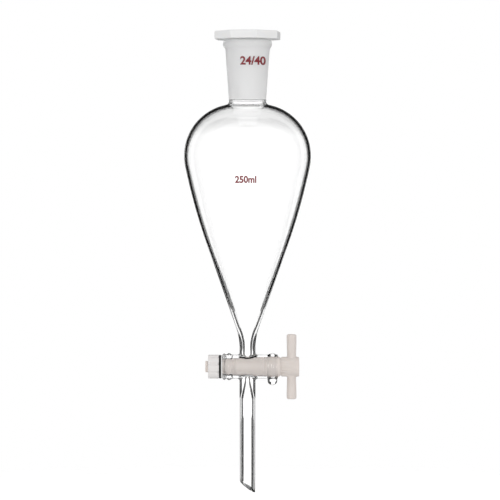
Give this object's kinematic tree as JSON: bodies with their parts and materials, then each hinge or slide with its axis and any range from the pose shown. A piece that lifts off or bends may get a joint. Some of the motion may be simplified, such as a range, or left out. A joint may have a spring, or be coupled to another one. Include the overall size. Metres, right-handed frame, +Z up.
{
  "type": "dropping funnel",
  "caption": "Pear-shaped glass dropping funnel with a ground tapered socket and stopper on top, a plastic stopcock across the drain and a slant-cut drip stem below.",
  "frame": {"origin": "on the funnel's axis, at the level where a support ring of 64 mm bore touches the bulb's flank", "axes": "+Z up along the funnel's axis towards the stopper, +X along the stopcock's barrel towards the T-handle, -Y the front"},
  "size_m": [0.0818, 0.0818, 0.2974],
  "materials": {
    "clear_glass": "clear, fire-polished",
    "ground_glass": "clear outside, ground frosted bore",
    "stopper_plastic": "satin, slightly translucent",
    "plug_plastic": "satin, slightly translucent",
    "washer_plastic": "satin",
    "o_ring_rubber": "matt black",
    "nut_plastic": "satin"
  },
  "bodies": {
    "glass": {"ground_joint_socket": "ground_glass", "pear_bulb": "clear_glass", "stopcock_barrel": "clear_glass", "drip_stem": "clear_glass"},
    "stopper": {"stopper": "stopper_plastic"},
    "plug": {"stopcock_plug": "plug_plastic", "plug_washer": "washer_plastic"},
    "o_ring": {"o_ring": "o_ring_rubber"},
    "nut": {"tension_nut": "nut_plastic"}
  },
  "joints": [
    {"name": "stopper_lift", "type": "slide", "parent": "glass", "child": "stopper", "axis": [0, 0, 1], "range_m": [0, 0.06]},
    {"name": "stopcock_turn", "type": "hinge", "parent": "glass", "child": "plug", "pos_m": [0, 0, -0.09664], "axis": [1, 0, 0], "continuous": true},
    {"name": "nut_advance", "type": "slide", "parent": "plug", "child": "o_ring", "axis": [-1, 0, 0], "range_m": [0, 0.0075]},
    {"name": "nut_unscrew", "type": "hinge", "parent": "o_ring", "child": "nut", "pos_m": [-0.0219, 0, -0.09664], "axis": [-1, 0, 0], "range_deg": [0, 1800.5]}
  ],
  "couplings": [
    {"joint": "nut_unscrew", "follows": "nut_advance", "rad_per_m": 4188.8}
  ]
}
